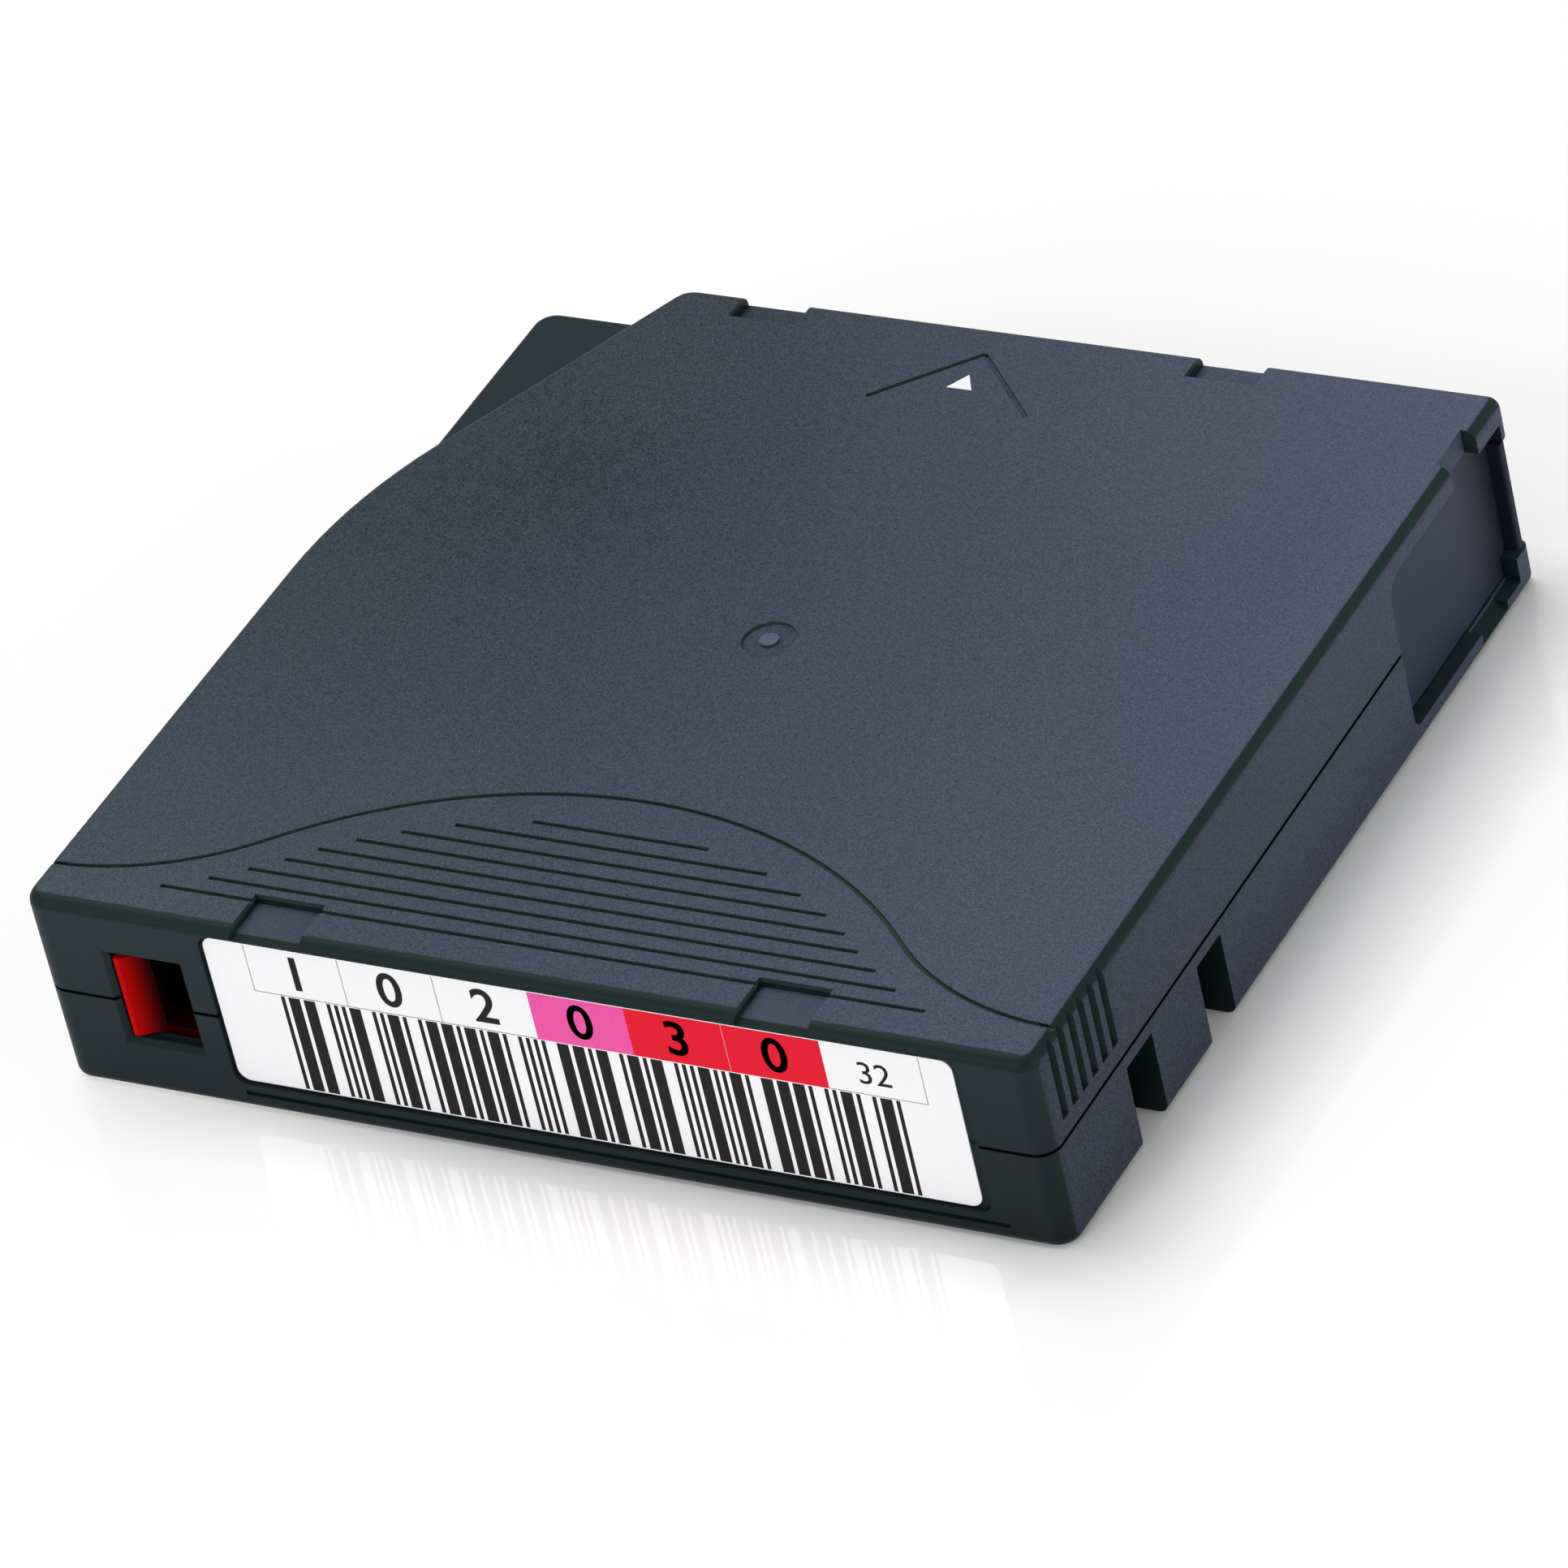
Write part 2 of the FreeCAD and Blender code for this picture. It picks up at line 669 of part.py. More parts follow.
def make_bottom_shell():
    outer = prism(CASE_CORNERS, 0, SEAM_Z)
    outer = round_edges(outer, BOTTOM_EDGE_R, flat_at(0))
    shell = outer.cut(prism(inset_corners(CASE_CORNERS, WALL), FLOOR_Z, SEAM_Z + PAST))
    adds = notch_blocks() + screw_bosses(FLOOR_Z - FUSE, lambda x, y: SEAM_Z)
    adds.append(door_rail(FLOOR_Z - FUSE, FLOOR_Z + RAIL_H))
    adds.append(switch_rail(FLOOR_Z - FUSE, SWITCH_PLATE_Z0 + SWITCH_RAIL_LAP))
    shell = shell.fuse(adds)
    cuts = outside_cuts() + gripper_notches() + [foot_line()]
    cuts.append(seam_groove(SEAM_Z - SEAM_GAP / 2, SEAM_Z + PAST))
    cuts.append(tube(0, SPINDLE_HOLE_R, -PAST, FLOOR_Z + PAST, 0, REEL_Y))
    for x, y in screw_places():
        cuts.append(tube(0, SCREW_HEAD_R + SCREW_PLAY, -PAST, SCREW_SEAT_Z, x, y))
        cuts.append(tube(0, SCREW_R + SCREW_PLAY, -PAST, SEAM_Z + PAST, x, y))
    return shell.cut(cuts).removeSplitter()


def make_top_shell():
    low = prism(CASE_CORNERS, SEAM_Z, GUIDE_LEDGE_Z)
    low = round_edges(low, LEDGE_EDGE_R, flat_at(GUIDE_LEDGE_Z))
    high = prism(GUIDE_CORNERS, SEAM_Z, HEIGHT)
    high = round_edges(high, TOP_EDGE_R, flat_at(HEIGHT))
    outer = low.fuse(high)
    inset = inset_corners(CASE_CORNERS, WALL)
    guide_inset = inset_corners(GUIDE_CORNERS, WALL)
    inside = prism(inset, SEAM_Z - PAST, GUIDE_LEDGE_Z - WALL)
    inside = inside.fuse(prism(guide_inset, SEAM_Z - PAST, CEILING_Z))
    shell = outer.cut(inside)

    def boss_top(x, y):
        return GUIDE_LEDGE_Z - WALL + FUSE if under_ledge(x, y) else CEILING_Z + FUSE

    adds = screw_bosses(SEAM_Z, boss_top)
    adds.append(door_rail(CEILING_Z - RAIL_H, CEILING_Z + FUSE))
    adds.append(switch_rail(SWITCH_PLATE_Z1 - SWITCH_RAIL_LAP, CEILING_Z + FUSE))
    half = POST_SIDE / 2
    adds.append(box(-half, half, REEL_Y - half, REEL_Y + half, POST_Z, CEILING_Z + FUSE))
    shell = shell.fuse(adds)
    cuts = outside_cuts() + side_ridges() + edge_grips()
    cuts += bell_groove() + line_grooves() + entry_arrow()
    cuts.append(centre_dimple())
    cuts.append(seam_groove(SEAM_Z - PAST, SEAM_Z + SEAM_GAP / 2))
    for x, y in screw_places():
        top = screw_tip_z(x, y) + SCREW_TIP_ROOM / 2
        cuts.append(tube(0, SCREW_R + SCREW_PLAY, SEAM_Z - PAST, top, x, y))
    return shell.cut(cuts).removeSplitter()


# ---------------------------------------------------------------- reel


def about_reel(shape):
    shape.translate(Vector(0, REEL_Y, 0))
    return shape


def toothed_ring(z0, z1, phase):
    teeth = []
    half = BRAKE_TOOTH_W / 2
    for i in range(BRAKE_TEETH):
        tooth = box(BRAKE_R - BRAKE_TOOTH_L, BRAKE_R, -half, half, z0, z1)
        angle = (i + phase) * 360.0 / BRAKE_TEETH
        tooth.rotate(Vector(0, 0, 0), Vector(0, 0, 1), angle)
        teeth.append(tooth)
    return teeth


def wedge_teeth(z_root, z_tip):
    # pointed drive teeth whose flanks run to the reel axis
    teeth = []
    foot = 180.0 / DRIVE_TEETH * 0.92
    tip = foot * 0.18
    for i in range(DRIVE_TEETH):
        angle = 360.0 * i / DRIVE_TEETH

        def at(radius, offset, z):
            a = math.radians(angle + offset)
            return Vector(radius * math.cos(a), radius * math.sin(a), z)

        sections = []
        for radius in (DRIVE_TOOTH_R0, DRIVE_TOOTH_R1):
            points = [
                at(radius, -foot, z_root),
                at(radius, foot, z_root),
                at(radius, tip, z_tip),
                at(radius, -tip, z_tip),
            ]
            sections.append(Part.makePolygon(points + points[:1]))
        teeth.append(Part.makeLoft(sections, True, True))
    return teeth


def release_legs(grow, z0, z1):
    legs = []
    half_x = LEG[0] / 2 + grow
    half_y = LEG[1] / 2 + grow
    for i in range(3):
        leg = box(LEG_R - half_x, LEG_R + half_x, -half_y, half_y, z0, z1)
        leg.rotate(Vector(0, 0, 0), Vector(0, 0, 1), 90 + 120 * i)
        legs.append(leg)
    return legs


def make_reel_hub():
    flange_top = REEL_Z + FLANGE_T
    hub = tube(HUB_INNER_R, HUB_R, REEL_Z, REEL_TOP_Z - FLANGE_T)
    floor = tube(0, HUB_INNER_R + FUSE, REEL_Z, HUB_FLOOR_Z)
    flange = tube(HUB_R - FUSE, FLANGE_R, REEL_Z, flange_top)
    teeth = wedge_teeth(REEL_Z + FUSE, REEL_Z - DRIVE_TOOTH_H)
    teeth += toothed_ring(HUB_FLOOR_Z - FUSE, HUB_FLOOR_Z + BRAKE_TOOTH_H, 0.5)
    hub = hub.fuse([floor, flange] + teeth)
    hub = hub.cut(release_legs(LEG_PLAY, REEL_Z - PAST, HUB_FLOOR_Z + PAST))
    return about_reel(hub.removeSplitter())


def make_upper_flange():
    return about_reel(tube(HUB_INNER_R, FLANGE_R, REEL_TOP_Z - FLANGE_T, REEL_TOP_Z))


def make_drive_plate():
    outer = DRIVE_TOOTH_R0 - PLATE_GAP
    return about_reel(tube(outer - PLATE_W, outer, REEL_Z - PLATE_T, REEL_Z))


def make_tape_pack():
    z0 = REEL_Z + FLANGE_T
    return about_reel(tube(HUB_R, PACK_R, z0, z0 + TAPE_WIDTH))


def make_release_plate():
    # a three-cornered plate with a leg under each corner
    corners = []
    for i in range(3):
        a = math.radians(90 + 120 * i)
        across = Vector(-math.sin(a), math.cos(a), 0) * (RELEASE_TIP / 2)
        tip = Vector(math.cos(a), math.sin(a), 0) * RELEASE_R
        corners += [tip - across, tip + across]
    plate = Part.Face(Part.makePolygon(corners + corners[:1]))
    plate = plate.extrude(Vector(0, 0, RELEASE_T))
    plate.translate(Vector(0, 0, HUB_FLOOR_Z))
    legs = release_legs(0, REEL_Z - LEG_REACH, HUB_FLOOR_Z + FUSE)
    return about_reel(plate.fuse(legs).removeSplitter())


def socket_half():
    return POST_SIDE / 2 + POST_PLAY + SOCKET_WALL


def make_brake():
    disc = tube(0, BRAKE_R, BRAKE_Z, BRAKE_TOP_Z)
    half = BRAKE_PAD / 2
    pad = box(-half, half, -half, half, HUB_FLOOR_Z + RELEASE_T + RELEASE_GAP, BRAKE_Z + FUSE)
    teeth = toothed_ring(BRAKE_TOOTH_Z, BRAKE_Z + FUSE, 0.0)
    outer = socket_half()
    inner = outer - SOCKET_WALL
    top = BRAKE_TOP_Z + SOCKET_H
    socket = box(-outer, outer, -outer, outer, BRAKE_TOP_Z - FUSE, top)
    brake = disc.fuse([pad, socket] + teeth)
    brake = brake.cut(box(-inner, inner, -inner, inner, BRAKE_TOP_Z, top + PAST))
    return about_reel(brake.removeSplitter())


def make_brake_spring():
    radius = socket_half() * math.sqrt(2) + BRAKE_SPRING_WIRE / 2 + BRAKE_SPRING_PLAY
    height = CEILING_Z - BRAKE_TOP_Z
    spring = coil(radius, BRAKE_SPRING_WIRE, BRAKE_SPRING_TURNS, height)
    spring.translate(Vector(0, REEL_Y, BRAKE_TOP_Z))
    return spring


# ---------------------------------------------------------------- leader


def make_leader_pin():
    z0 = FLOOR_Z + PIN_END_PLAY
    z1 = CEILING_Z - PIN_END_PLAY
    shaft = tube(0, PIN_R, z0, z1, PIN_X, PIN_Y)
    heads = [
        tube(0, PIN_HEAD_R, z0, z0 + PIN_HEAD_T, PIN_X, PIN_Y),
        tube(0, PIN_HEAD_R, z1 - PIN_HEAD_T, z1, PIN_X, PIN_Y),
    ]
    return shaft.fuse(heads).removeSplitter()


def make_pin_clip():
    z0 = REEL_Z + FLANGE_T + TAPE_CLEARANCE / 2
    z1 = z0 + TAPE_WIDTH - TAPE_CLEARANCE
    ring = tube(PIN_R, PIN_R + CLIP_T, z0, z1, PIN_X, PIN_Y)
    half = CLIP_MOUTH / 2
    reach = PIN_R + CLIP_T + PAST
    mouth = box(PIN_X, PIN_X + reach, PIN_Y - half, PIN_Y + half, z0 - PAST, z1 + PAST)
    return ring.cut(mouth)


def make_leader_tape():
    # runs from the clip along the tangent to the right of the pack
    radius = PACK_R + LEADER_GAP
    dx, dy = PIN_X, PIN_Y - REEL_Y
    reach = math.hypot(dx, dy)
    bearing = math.atan2(dy, dx) - math.acos(radius / reach)
    run = math.sqrt(reach ** 2 - radius ** 2)
    start = PIN_R + CLIP_T
    z0 = REEL_Z + FLANGE_T + TAPE_CLEARANCE
    z1 = z0 + TAPE_WIDTH - 2 * TAPE_CLEARANCE
    strip = box(0, LEADER_T, 0, run - start, z0, z1)
    strip.rotate(Vector(0, 0, 0), Vector(0, 0, 1), math.degrees(bearing))
    touch = Vector(radius * math.cos(bearing), REEL_Y + radius * math.sin(bearing), 0)
    strip.translate(touch)
    return strip


def make_pin_spring(z0):
    # a bow of flat wire that grips the head of the pin, open to the door
    r0 = PIN_HEAD_R
    r1 = r0 + PIN_SPRING_T
    z1 = z0 + PIN_SPRING_H
    bow = tube(r0, r1, z0, z1, PIN_X, PIN_Y)
    reach = r1 + PAST
    front = box(PIN_X, PIN_X + reach, PIN_Y - reach, PIN_Y + reach, z0 - PAST, z1 + PAST)
    leg_x = PIN_X + PIN_SPRING_LEG
    tail = PIN_X - r1
    legs = [
        box(PIN_X, leg_x, PIN_Y + r0, PIN_Y + r1, z0, z1),
        box(PIN_X, leg_x, PIN_Y - r1, PIN_Y - r0, z0, z1),
        box(tail - PIN_SPRING_LEG, tail + FUSE, PIN_Y - PIN_R, PIN_Y + PIN_R, z0, z1),
    ]
    return bow.cut(front).fuse(legs).removeSplitter()


# ---------------------------------------------------------------- door


def make_door():
    # a thin plate with a tab that turns out round the corner at its end
    tab_z0 = CORNER_POST_H + DOOR_TAB_PLAY
    tab_z1 = END_LIP_Z - DOOR_TAB_PLAY
    tab_x1 = HALF_W - DOOR_TAB_INSET
    plate = box(DOOR_X0, DOOR_X1, DOOR_Y0, DOOR_Y1, DOOR_Z0, DOOR_Z1)
    tab = box(DOOR_X0, tab_x1, DOOR_Y1 - FUSE, DOOR_Y1 + DOOR_TAB_T, tab_z0, tab_z1)

    def outer_upright(b):
        return b.XMin > tab_x1 - 1e-4 and b.ZLength > b.YLength

    tab = round_edges(tab, DOOR_TAB_T / 3, outer_upright)
    lug_x, lug_y, lug_z = DOOR_LUG
    z0 = FLOOR_Z + DOOR_LUG_Z
    lug = box(DOOR_X0 - lug_x, DOOR_X1, DOOR_Y0, DOOR_Y0 + lug_y, z0, z0 + lug_z)
    return plate.fuse([tab, lug]).removeSplitter()


def make_door_spring():
    # between the rear gripper-notch block and the lug at the end of the door
    y0 = -HALF_L + NOTCHES[1][1] + NOTCH_BLOCK_WALL
    spring = coil(DOOR_SPRING_R, DOOR_SPRING_WIRE, DOOR_SPRING_TURNS, DOOR_Y0 - y0, 10)
    spring.rotate(Vector(0, 0, 0), Vector(1, 0, 0), -90)
    reach = DOOR_SPRING_R + DOOR_SPRING_WIRE / 2
    z = FLOOR_Z + DOOR_LUG_Z + DOOR_LUG[2] / 2
    spring.translate(Vector(DOOR_X1 - reach - DOOR_END_PLAY, y0, z))
    return spring


# ---------------------------------------------------------------- switch


def make_switch():
    x0 = SWITCH_X[0] - SWITCH_TRAVEL - 4 * SWITCH_PLAY
    x1 = SWITCH_X[1] - 2 * SWITCH_PLAY
    y0, y1 = SWITCH_PLATE_Y0, SWITCH_PLATE_Y1
    plate = box(x0, x1, y0, y1, SWITCH_PLATE_Z0, SWITCH_PLATE_Z1)
    z0, z1 = SWITCH_Z[0] + 4 * SWITCH_PLAY, SWITCH_Z[1] - 4 * SWITCH_PLAY
    hole_x0 = SWITCH_X[0] + SWITCH_HOLE_INSET
    lip_z = z0 + SWITCH_LIP_H
    hole = box(hole_x0, x1 + PAST, y0 - PAST, y1 + PAST, lip_z, SWITCH_Z[1])
    # a slanting wall for the finger ends at the hole, with a low lip at its foot
    wall_x0 = SWITCH_X[0] + SWITCH_WALL_INSET
    front = -HALF_L + 2 * SWITCH_PLAY
    slant = [
        Vector(wall_x0, front, z0),
        Vector(wall_x0 + SWITCH_WALL_INSET, front, z0),
        Vector(hole_x0, y0, z0),
        Vector(hole_x0, y1, z0),
        Vector(wall_x0, y1, z0),
    ]
    wall = Part.Face(Part.makePolygon(slant + slant[:1])).extrude(Vector(0, 0, z1 - z0))
    lip = box(wall_x0, x1, y0, front + SWITCH_LIP_REACH, z0, lip_z)
    return plate.cut(hole).fuse([wall, lip]).removeSplitter()


# ---------------------------------------------------------------- extras


def make_memory():
    # a small board that stands across the left corner of the label end
    length, thickness, height = MEMORY
    chip = box(-length / 2, length / 2, -thickness / 2, thickness / 2, 0, height)
    chip.rotate(Vector(0, 0, 0), Vector(0, 0, 1), -45)
    x = -HALF_W + MEMORY_INSET[0]
    y = -HALF_L + MEMORY_INSET[1]
    chip.translate(Vector(x, y, FLOOR_Z))
    return chip


def make_label():
    x0, x1 = LABEL_X
    z0, z1 = LABEL_Z
    r = LABEL_CORNER_R
    corners = [((x0, z0), r), ((x1, z0), r), ((x1, z1), r), ((x0, z1), r)]
    back = -HALF_L + RECESS_DEPTH
    face = outline_face(corners, lambda x, z: Vector(x, back, z))
    return face.extrude(Vector(0, -LABEL_T, 0))


# ---------------------------------------------------------------- export

PARTS = {
    "bottom_shell": make_bottom_shell,
    "top_shell": make_top_shell,
    "case_screws": make_screws,
    "reel_hub": make_reel_hub,
    "upper_flange": make_upper_flange,
    "drive_plate": make_drive_plate,
    "tape_pack": make_tape_pack,
    "release_plate": make_release_plate,
    "brake_button": make_brake,
    "brake_spring": make_brake_spring,
    "leader_pin": make_leader_pin,
    "pin_clip": make_pin_clip,
    "leader_tape": make_leader_tape,
    "pin_spring_lower": lambda: make_pin_spring(FLOOR_Z),
    "pin_spring_upper": lambda: make_pin_spring(CEILING_Z - PIN_SPRING_H),
    "door": make_door,
    "door_spring": make_door_spring,
    "write_protect_switch": make_switch,
    "cartridge_memory": make_memory,
    "barcode_label": make_label,
}

os.makedirs("parts", exist_ok=True)
for name, make in PARTS.items():
    shape = make()
    shape.exportStep("parts/" + name + ".step")
    size = shape.BoundBox
    print(
        name,
        "solids", len(shape.Solids),
        "valid", shape.isValid(),
        "volume", round(shape.Volume, 1),
        "z", round(size.ZMin, 2), round(size.ZMax, 2),
    )
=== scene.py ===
# %% [markdown]
# # Dressing a data tape cartridge
# The cartridge is a flat box of dark blue-grey plastic that holds one reel of tape. All its
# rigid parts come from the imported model, in metres, and stand where the model says. What is
# left for this lesson is the surface: fine moulded grain, steel, tape, and the printed label.

# %% Load the frame
import math

import bmesh
import bpy
from mathutils import Euler, Matrix, Vector


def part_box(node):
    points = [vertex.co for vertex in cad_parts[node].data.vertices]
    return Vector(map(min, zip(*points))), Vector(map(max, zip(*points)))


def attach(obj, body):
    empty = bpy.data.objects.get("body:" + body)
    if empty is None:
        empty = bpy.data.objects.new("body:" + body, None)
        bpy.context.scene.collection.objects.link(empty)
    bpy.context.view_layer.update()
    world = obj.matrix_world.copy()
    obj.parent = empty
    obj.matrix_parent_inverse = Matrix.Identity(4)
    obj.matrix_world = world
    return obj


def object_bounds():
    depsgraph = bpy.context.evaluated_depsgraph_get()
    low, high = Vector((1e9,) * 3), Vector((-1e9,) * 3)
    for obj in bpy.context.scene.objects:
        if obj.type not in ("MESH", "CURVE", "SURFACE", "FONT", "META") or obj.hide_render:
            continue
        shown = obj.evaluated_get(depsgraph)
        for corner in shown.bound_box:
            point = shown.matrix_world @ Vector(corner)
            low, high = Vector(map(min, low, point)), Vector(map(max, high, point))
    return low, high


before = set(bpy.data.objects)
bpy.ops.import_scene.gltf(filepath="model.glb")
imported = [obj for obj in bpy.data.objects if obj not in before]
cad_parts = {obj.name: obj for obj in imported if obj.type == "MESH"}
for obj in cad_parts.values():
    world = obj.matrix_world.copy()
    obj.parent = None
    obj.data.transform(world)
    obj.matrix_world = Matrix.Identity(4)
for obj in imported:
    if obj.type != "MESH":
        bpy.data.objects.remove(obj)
cad_low, cad_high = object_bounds()
print("cartridge measures", [round(1000 * v, 2) for v in cad_high - cad_low], "mm")

# %% [markdown]
# Lengths on a cartridge are a few millimetres, so they are written in millimetres and
# turned into metres by one factor.

# %% Units
MM = 0.001


# %% [markdown]
# A finish is a small network of nodes. Writing it as `0.5 + grain * 0.1` reads better than
# a list of links, so a socket is wrapped in a class whose operators add Math nodes. The
# reflected forms let a plain number stand first, as in `1 - mask`.

# %% Values as expressions
class Value:
    """One value that runs through a finish; sums and products add Math nodes."""

    def __init__(self, finish, socket):
        self.finish = finish
        self.socket = socket

    def _math(self, operation, *terms):
        return self.finish.node("Math", {"operation": operation}, dict(enumerate(terms)))

    def __add__(self, other):
        return self._math("ADD", self, other)

    def __radd__(self, other):
        return self._math("ADD", other, self)

    def __sub__(self, other):
        return self._math("SUBTRACT", self, other)

    def __rsub__(self, other):
        return self._math("SUBTRACT", other, self)

    def __mul__(self, other):
        return self._math("MULTIPLY", self, other)

    def __rmul__(self, other):
        return self._math("MULTIPLY", other, self)

    def __abs__(self):
        return self._math("ABSOLUTE", self)

    def above(self, edge, softness):
        """0 below the edge, 1 above it, with a soft step between."""
        return self.finish.node(
            "MapRange",
            {"interpolation_type": "SMOOTHSTEP"},
            {"Value": self, "From Min": edge - softness / 2, "From Max": edge + softness / 2},
        )


# %% [markdown]
# Every finish starts from one Principled shader. The numbers that are the same all over go
# straight onto its sockets; what changes over the surface comes in through `node`, the one
# method that makes any node from its type, its settings and the values of its sockets.

# %% A finish
class Finish:
    """A material being made: its shader, its nodes and the place of each point on the part."""

    def __init__(self, name, **even):
        self.material = bpy.data.materials.new(name)
        self.material.use_nodes = True
        self.nodes = self.material.node_tree.nodes
        self.links = self.material.node_tree.links
        self.shader = self.nodes["Principled BSDF"]
        for socket, value in even.items():
            self.shader.inputs[socket.replace("_", " ")].default_value = value
        self.place = self.node("TexCoord", output="Object")

    def feed(self, socket, value):
        if isinstance(value, Value):
            self.links.new(value.socket, socket)
        elif isinstance(value, tuple) and len(value) == 3 and socket.type == "RGBA":
            socket.default_value = (*value, 1.0)
        else:
            socket.default_value = value

    def node(self, kind, settings=None, inputs=None, output=0):
        made = self.nodes.new("ShaderNode" + kind)
        for setting, value in (settings or {}).items():
            setattr(made, setting, value)
        for socket, value in (inputs or {}).items():
            self.feed(made.inputs[socket], value)
        return Value(self, made.outputs[output])

    def vector(self, operation, *terms, output=0):
        """Vector Math on places, directions and colours."""
        return self.node("VectorMath", {"operation": operation}, dict(enumerate(terms)), output)

    def along(self, axis, vector=None):
        """How far a vector reaches along an axis; the place on the part, if none is given."""
        return self.vector("DOT_PRODUCT", vector or self.place, axis, output="Value")

    def radius_from(self, centre):
        """Distance from an upright axis through the centre."""
        out = self.vector("SUBTRACT", self.place, tuple(centre))
        flat = self.vector("MULTIPLY", out, (1.0, 1.0, 0.0))
        return self.vector("LENGTH", flat, output="Value")

    def noise(self, size, detail=2.0, stretch=(1.0, 1.0, 1.0)):
        """Cloudy noise whose lumps are about this many millimetres across."""
        place = self.vector("MULTIPLY", self.place, tuple(s / (size * MM) for s in stretch))
        return self.node("TexNoise", inputs={"Vector": place, "Scale": 1.0, "Detail": detail})

    def blend(self, factor, first, second):
        """From the first colour to the second."""
        return self.node(
            "Mix", {"data_type": "RGBA"}, {"Factor": factor, 6: first, 7: second}, output=2
        )

    def either(self, first, second):
        """The larger of two masks."""
        return self.node("Math", {"operation": "MAXIMUM"}, {0: first, 1: second})

    def scaled(self, colour, share):
        """A colour multiplied channel by channel."""
        return self.vector("MULTIPLY", colour, share)

    def wear(self, base=None, rough=None, height=None, depth=0.02):
        """Feed the shader: colour, roughness, and a relief whose depth is in millimetres."""
        if base is not None:
            self.feed(self.shader.inputs["Base Color"], base)
        if rough is not None:
            self.feed(self.shader.inputs["Roughness"], rough)
        if height is not None:
            relief = self.node("Bump", inputs={"Height": height, "Distance": depth * MM})
            self.feed(self.shader.inputs["Normal"], relief)
        return self.material


def tint(colour, share):
    """The same colour, lighter or darker."""
    return tuple(channel * share for channel in colour)


X_AXIS, Y_AXIS, Z_AXIS = (1.0, 0.0, 0.0), (0.0, 1.0, 0.0), (0.0, 0.0, 1.0)

# %% [markdown]
# The shells are moulded in a spark-eroded tool, which leaves a fine, even, matt grain on
# the lid and the long sides. The ends and all rounded edges of the tool are only stoned, so
# there the plastic is smoother. Their colours are lit and shaded copies: the grained faces
# carry a lighter, bluer painted sheen, the stoned ends and rounded edges a darker, greener
# painted shade. Painting each face apart would need many slots; masks tell the faces apart
# in one material. Each mask is a soft step, and the values below are its edge and its width,
# as a cosine for directions.

# %% Where the shells change
LID = cad_high.z
SEAM = (cad_low.z + cad_high.z) / 2
reel_low, reel_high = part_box("upper_flange")
reel_axis = (reel_low + reel_high) / 2
FACING = 0.945, 0.07
LEANING = 0.15, 0.2
LID_SKIN = LID - 2.5 * MM, 0.2 * MM
LID_HALF_WIDTH = cad_high.x - 2.0 * MM, 0.2 * MM
OUTER_SIDE = cad_high.x - 0.4 * MM, 0.2 * MM
FRONT_EDGE = cad_high.y - 1.2 * MM, 0.3 * MM
LABEL_END = 48.0 * MM, 1.0 * MM
NOTCHED_PART = 40.0 * MM, 1.0 * MM
DOOR_PART = 30.0 * MM, 1.0 * MM
DOOR_SET_BACK = 1.3 * MM
ENGRAVED_SKIN = LID - 0.5 * MM, 0.1 * MM
LINE_FLOOR = LID - 0.2 * MM, 0.1 * MM
DIMPLE = 4.0 * MM, 0.2 * MM
NUB_RADIUS = 1.0 * MM, 0.1 * MM
SEAM_HALF = 0.22 * MM, 0.04 * MM
NOTCH_TOP = SEAM, 0.1 * MM
print("seam at", round(SEAM / MM, 2), "mm, lid at", round(LID / MM, 2), "mm")

# %% [markdown]
# The masks are worked out once and kept on the finish, because the colour, the gloss and
# the relief all need them. Grain covers the lid, the underside and the long sides, which
# stand back a little beside the door.

# %% Masks of the shells
class ShellFinish(Finish):
    """A finish that knows which way each face of a shell looks, and which have grain and
    painted sheen.
    """

    def __init__(self, name):
        super().__init__(name, Specular_IOR_Level=0.1)
        looks = self.node("TexCoord", output="Normal")
        up = self.along(Z_AXIS, looks)
        self.x, self.y, self.height = (self.along(axis) for axis in (X_AXIS, Y_AXIS, Z_AXIS))
        self.level = abs(up).above(*FACING)
        self.upright = 1 - abs(up).above(*LEANING)
        self.sideways = abs(self.along(X_AXIS, looks)).above(*FACING)
        self.front_edge = (0 - self.y).above(*FRONT_EDGE)
        self.door_part = self.y.above(*DOOR_PART)
        self.outermost = (abs(self.x) + self.door_part * DOOR_SET_BACK).above(*OUTER_SIDE)
        self.lid = up.above(*FACING) * self.height.above(*LID_SKIN) * (1 - self.front_edge)
        self.flank = self.sideways * self.outermost
        # these faces get grain in the relief and the painted sheen in the colour
        self.grain_and_sheen = self.lid + (0 - up).above(*FACING) + self.flank


# %% [markdown]
# Light and shade are painted into the shells' colour. The lid is lightest at its right entry
# corner and darkest round a place left of the middle, the flanks are darker, the label end is
# lightest at its upper left, and the small ledges beside the door are painted lighter. All of
# it hangs on the place on the part, so it stays put from every side. Engraved lines are darker,
# and painted shade darkens the seam and the notches.

# %% Painted light and shade, lines and gaps
# painted light and shade: the lid is darkest round this place, and each gradient grows as below
DARK_PLACE, DARK_RADIUS = Vector((-30.0, 20.0, 0.0)) * MM, 38.0 * MM
# shares of the colour; what grows along the part is a share for each metre
SWEEP, FROM_DARK_PLACE = 72.0, 5.4
END_SHADE, END_TO_LEFT, END_TO_TOP = 0.08, 2.5, 34.0
FLANK_LOSS, LEDGE_GAIN = 0.22, 0.7


